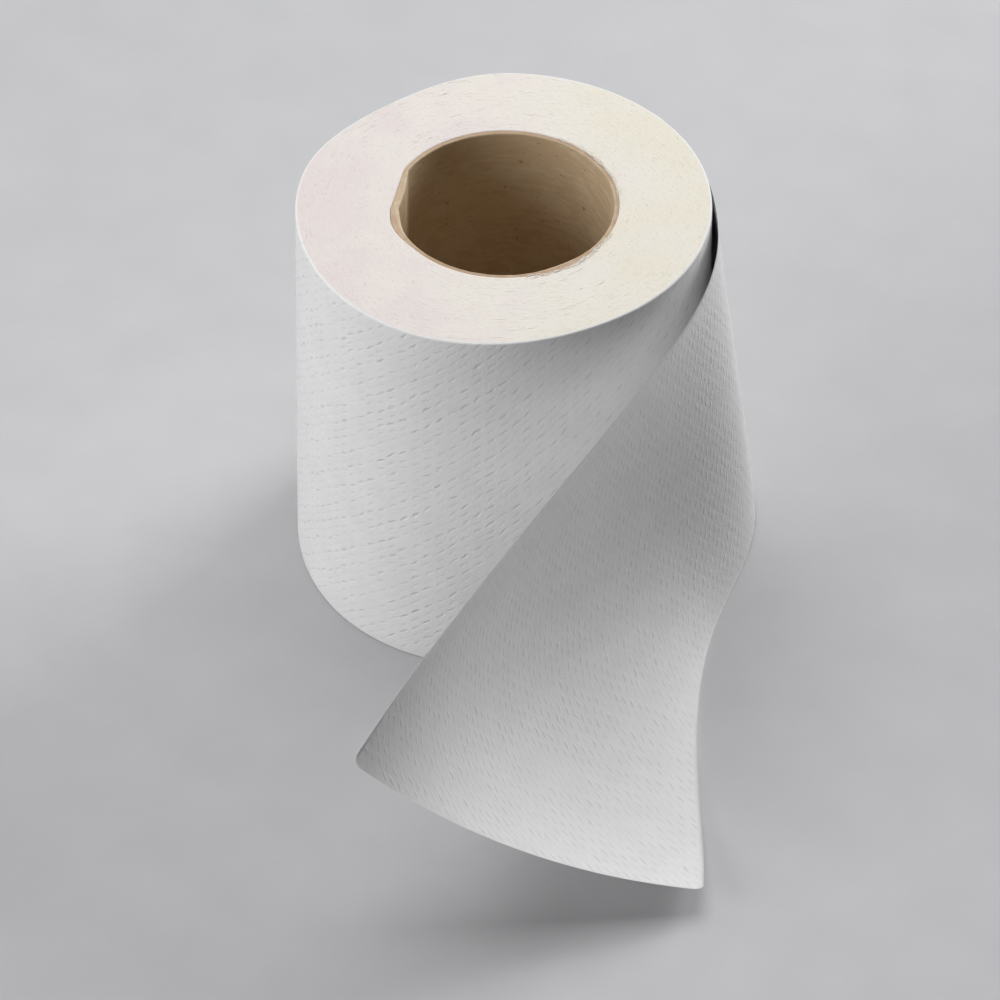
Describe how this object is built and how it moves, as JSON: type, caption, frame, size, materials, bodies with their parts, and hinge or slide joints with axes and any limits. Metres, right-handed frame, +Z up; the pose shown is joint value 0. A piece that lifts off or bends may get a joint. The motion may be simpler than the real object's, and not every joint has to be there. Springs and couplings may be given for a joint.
{
  "type": "toilet paper roll",
  "caption": "Full roll of toilet tissue standing on its end on a cardboard core, with its loose tail coming off one side and curling forward over the floor.",
  "frame": {"origin": "on the axis of the cardboard core, at the end face that the roll stands on", "axes": "+Z up along the core's axis; the loose tail runs out towards -Y; the web leaves the wall on the +X side"},
  "size_m": [0.1098, 0.1919, 0.1],
  "materials": {
    "tissue": "matte, creped and embossed with short dashes",
    "core_board": "matte, grey-brown recycled board"
  },
  "bodies": {
    "root": {"core_tube": "core_board", "paper_roll": "tissue"}
  },
  "joints": []
}
